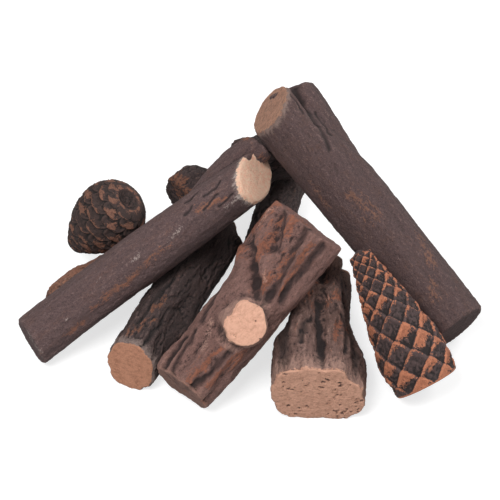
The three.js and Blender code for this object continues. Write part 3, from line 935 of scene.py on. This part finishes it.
class ConeSkin:
    """Rings of points along a cone, with what its paint needs to know at each point."""

    def __init__(self, seed, ring_points):
        self.seed = seed
        self.ring = ring_points
        self.points = []
        self.brush = []
        self.rises = []
        self.faces = []

    def add(self, points, brush, rises):
        self.points.extend(points)
        self.brush.extend(brush)
        self.rises.extend(rises)

    def wrap(self, first, second):
        """Faces of the flank between two rings, given by their first points."""
        for a in range(self.ring):
            b = (a + 1) % self.ring
            self.faces.append([first + a, first + b, second + b, second + a])

    def close(self, start, middle_x, near, dent, rim_reach):
        """Rings that close an end, dished to its middle and roughly broken there."""
        rim = np.array(self.points[start : start + self.ring])
        steps = 16
        for k in range(1, steps + 1):
            share = 1 - k / (steps + 0.5)
            place = rim * np.array([1, share, share])
            place[:, 0] += (middle_x - rim[:, 0]) * (1 - share**2)
            uneven = smooth(fractal(place / 3.0 + self.seed * 2, 3, 0.6), -0.4, 0.6)
            place[:, 0] += (dent if near else -dent) * uneven * (1 - share**4)
            begin = len(self.points)
            brush = UNBRUSHED + 0.4 * rim_reach * (share > 0.9) + 0.3 * rim_reach * uneven
            self.add(place, brush, 0.2 + 0.4 * uneven)
            for a in range(self.ring):
                b = (a + 1) % self.ring
                quad = [start + a, begin + a, begin + b, start + b]
                self.faces.append(quad if near else quad[::-1])
            start = begin
        tip = len(self.points)
        self.add([np.array([middle_x + (0.5 if near else -0.5), 0.0, 0.0])], [-0.5], [0.2])
        for a in range(self.ring):
            corner = [start + a, tip, start + (a + 1) % self.ring]
            self.faces.append(corner if near else corner[::-1])


def cone_skin(name, seed, size, scar, turned, roundness, reach, rim_reach):
    """The cone's skin with its scales, and what its paint needs to know at each point."""
    rows_between, across = 10, 9  # steps of the grid along and round, to a quarter of a scale
    radius_at, stations = cone_outline(size)
    columns = size["count"] * 4
    rows = np.linspace(0, len(stations) - 1, (len(stations) - 1) * rows_between + 1)
    turns = np.arange(columns * across) / across
    x = np.interp(rows, np.arange(len(stations)), stations)
    flank_radius = np.array([radius_at(v) for v in x])[:, None]
    r, c = np.meshgrid(rows, turns, indexing="ij")
    right, left = (c + r) / 4, (c - r) / 4
    right_cell, left_cell = np.round(right), np.round(left)
    onward = (right - right_cell) - (left - left_cell)
    aside = (right - right_cell) + (left - left_cell)
    numbers = (right_cell - left_cell, (right_cell + left_cell) % (2 * size["count"]))
    height, brush = overlapping_scales(onward, aside, numbers, roundness, reach)

    # The scales stand on the cone's flank and fade at its ends.
    along = np.broadcast_to(x[:, None], r.shape)
    angle = 2 * math.pi * c / columns + size["twist"] * along / size["length"]

    def flank(radius):
        return np.stack([along, radius * np.cos(angle), radius * np.sin(angle)], axis=-1).reshape(-1, 3)

    rough = fractal(flank(flank_radius) / 4.5 + seed, 4, 0.6).reshape(r.shape)
    height = np.clip(height - 0.12 * smooth(-rough, -0.4, 0.5), 0, 1)
    fade = smooth(along, 0, size["belly"] / 3)
    fade = fade * (1 - smooth(along, size["length"] - size["tip"] / 2, size["length"]))
    closing = 1 - 0.45 * smooth(rows, len(stations) - 2, len(stations) - 1)[:, None]
    radius = flank_radius * closing - size["relief"] * fade * (1 - height)
    radius = radius - SCALE_INSET - SCALE_GRAIN * smooth(-rough, -0.5, 0.6)
    rim = rim_reach * (1 - smooth(along, 0, size["belly"] / 9))
    skin = ConeSkin(seed, columns * across)
    skin.add(flank(radius), np.maximum(brush, rim + UNBRUSHED).reshape(-1), height.reshape(-1))
    last_ring = (len(rows) - 1) * skin.ring
    for first in range(0, last_ring, skin.ring):
        skin.wrap(first, first + skin.ring)
    skin.close(0, scar, True, 0.5 + scar / 2, rim_reach)
    skin.close(last_ring, size["length"] + size["tip"] / 8, False, 0.5, rim_reach)

    # The cone is laid on the stack.
    local = np.array(skin.points)
    grain = local / CM + seed * 5.1
    if turned:
        local = local * np.array([-1, -1, 1]) + np.array([size["length"], 0, 0])
    foot, axes = axes_of(name)
    lying = local @ axes + foot
    lying[:, 2] = np.maximum(lying[:, 2], HEARTH_GAP)
    mesh = bpy.data.meshes.new(name + "_scales")
    mesh.from_pydata((lying * MM).tolist(), [], skin.faces)
    mesh.polygons.foreach_set("use_smooth", [True] * len(mesh.polygons))
    mesh.update()
    edges = edges_of(mesh)
    lying = points_of(mesh)
    wear_and_shade = np.sum((lying - eased(lying, edges, 6)) * facings_of(mesh), axis=1)
    store(mesh, "grain", grain)
    store(mesh, "brush", np.array(skin.brush))
    # The scales' height, which sets their painted shade
    store(mesh, "rise", np.array(skin.rises))
    store(mesh, "wear_and_shade", eased(wear_and_shade, edges, 2) / SCALE_WEAR_AND_SHADE_HEIGHT)
    return mesh


# Each cone's deep colour is its painted shade at the roots of its scales and in hollows
CONES = {
    "right_pine_cone": dict(
        shape=dict(
            size=dict(
                length=130,
                width=66,
                base=56,
                tip=20,
                belly=30,
                relief=3.6,
                fullness=1.25,
                count=7,
                row_share=0.4,
                twist=0.9,
            ),
            scar=0.0,
            turned=False,
            roundness=1.3,
            reach=0.8,
            rim_reach=0.8,
        ),
        finish=dict(
            deep=paint(28, 20, 20),
            dark=paint(58, 44, 43),
            mid=paint(94, 74, 72),
            rust=paint(192, 122, 90),
            rust_shade=paint(148, 90, 66),
            ragged=0.30,
            patchy=0.6,
        ),
    ),
    "left_pine_cone": dict(
        shape=dict(
            size=dict(
                length=82,
                width=66,
                base=24,
                tip=18,
                belly=27,
                relief=3.0,
                fullness=1.8,
                count=7,
                row_share=0.27,
                twist=0.9,
            ),
            scar=3.0,
            turned=True,
            roundness=7.0,
            reach=0.74,
            rim_reach=0.25,
        ),
        finish=dict(
            deep=paint(20, 14, 13),
            dark=paint(42, 30, 28),
            mid=paint(80, 59, 54),
            rust=paint(136, 92, 73),
            rust_shade=paint(82, 56, 47),
            ragged=0.26,
            patchy=0.8,
        ),
    ),
}

for seed, (name, cone) in enumerate(CONES.items(), 11):
    skin_mesh = cone_skin(name, seed, **cone["shape"])
    add_piece(name, "_scales", skin_mesh, scale_finish(name + "_paint", **cone["finish"]), "cone_scale")


# Floor, lights and camera, in metres

WHITE = (1, 1, 1, 1)
FLOOR_REACH = 6
FLOOR_TONE = 0.42  # lit by the lamps and shaded by the pieces
FLOOR_GLOW = 0.7  # seen by the camera only, so that the floor looks white
SKY_LIGHT = 0.32
SOFT_BOXES = {
    # Place, width and watts
    "key_light": ((-0.7, -1.1, 2.1), 1.0, 50),
    "fill_light": ((1.4, -1.2, 1.2), 1.3, 8),
    "side_light": ((1.6, 0.9, 1.5), 1.0, 24),
}
STACK_MIDDLE = 0.06  # height that the lights and the camera point at
CAMERA_DISTANCE = 2.6
CAMERA_LIFT = math.radians(45)
VIEW_WIDTH = 0.45
SENSOR_WIDTH = 36  # in mm, as the camera takes it
VIEW_SHIFT = 0.016  # as a share of the picture's width


def pale_floor():
    corners = [(x * FLOOR_REACH, y * FLOOR_REACH, 0) for x, y in ((-1, -1), (1, -1), (1, 1), (-1, 1))]
    mesh = bpy.data.meshes.new("floor")
    mesh.from_pydata(corners, [], [(0, 1, 2, 3)])
    floor = bpy.data.objects.new("floor", mesh)
    bpy.context.scene.collection.objects.link(floor)
    hearth = Finish("pale_floor")
    hearth.colour((FLOOR_TONE, FLOOR_TONE, FLOOR_TONE, 1))
    hearth.roughness(0.9)
    hearth.put(hearth.shader.inputs["Specular IOR Level"], 0.0)
    hearth.put(hearth.shader.inputs["Emission Color"], WHITE)
    seen = Wire(hearth, hearth.node("ShaderNodeLightPath", {}).outputs["Is Camera Ray"])
    hearth.put(hearth.shader.inputs["Emission Strength"], seen * FLOOR_GLOW)
    mesh.materials.append(hearth.material)


def studio_world():
    """A soft white light from all round, in front of a white backdrop."""
    world = bpy.context.scene.world or bpy.data.worlds.new("studio")
    bpy.context.scene.world = world
    world.use_nodes = True
    studio = Nodes(world.node_tree)
    studio.tree.nodes.clear()
    seen = Wire(studio, studio.node("ShaderNodeLightPath", {}).outputs["Is Camera Ray"])
    soft = Wire(studio, studio.node("ShaderNodeBackground", {}, WHITE, SKY_LIGHT).outputs[0])
    backdrop = Wire(studio, studio.node("ShaderNodeBackground", {}, WHITE, 1.0).outputs[0])
    shown = studio.node("ShaderNodeMixShader", {}, seen, soft, backdrop)
    studio.node("ShaderNodeOutputWorld", {}, Wire(studio, shown.outputs[0]))


def soft_box(name, at, width, watts):
    light = bpy.data.lights.new(name, "AREA")
    light.shape = "SQUARE"
    light.size = width
    light.energy = watts
    box = bpy.data.objects.new(name, light)
    box.location = at
    box.rotation_euler = (Vector((0, 0, STACK_MIDDLE)) - Vector(at)).to_track_quat("-Z", "Y").to_euler()
    bpy.context.scene.collection.objects.link(box)


def front_camera():
    camera = bpy.data.objects.new("camera", bpy.data.cameras.new("camera"))
    bpy.context.scene.collection.objects.link(camera)
    back = CAMERA_DISTANCE * math.cos(CAMERA_LIFT)
    camera.location = (0, -back, STACK_MIDDLE + CAMERA_DISTANCE * math.sin(CAMERA_LIFT))
    camera.rotation_euler = (math.pi / 2 - CAMERA_LIFT, 0, 0)
    camera.data.sensor_width = SENSOR_WIDTH
    camera.data.lens = SENSOR_WIDTH * CAMERA_DISTANCE / VIEW_WIDTH
    camera.data.shift_y = VIEW_SHIFT
    bpy.context.scene.camera = camera


pale_floor()
studio_world()
for light_name, (at, width, watts) in SOFT_BOXES.items():
    soft_box(light_name, at, width, watts)
front_camera()
bpy.context.scene.view_settings.view_transform = "Standard"
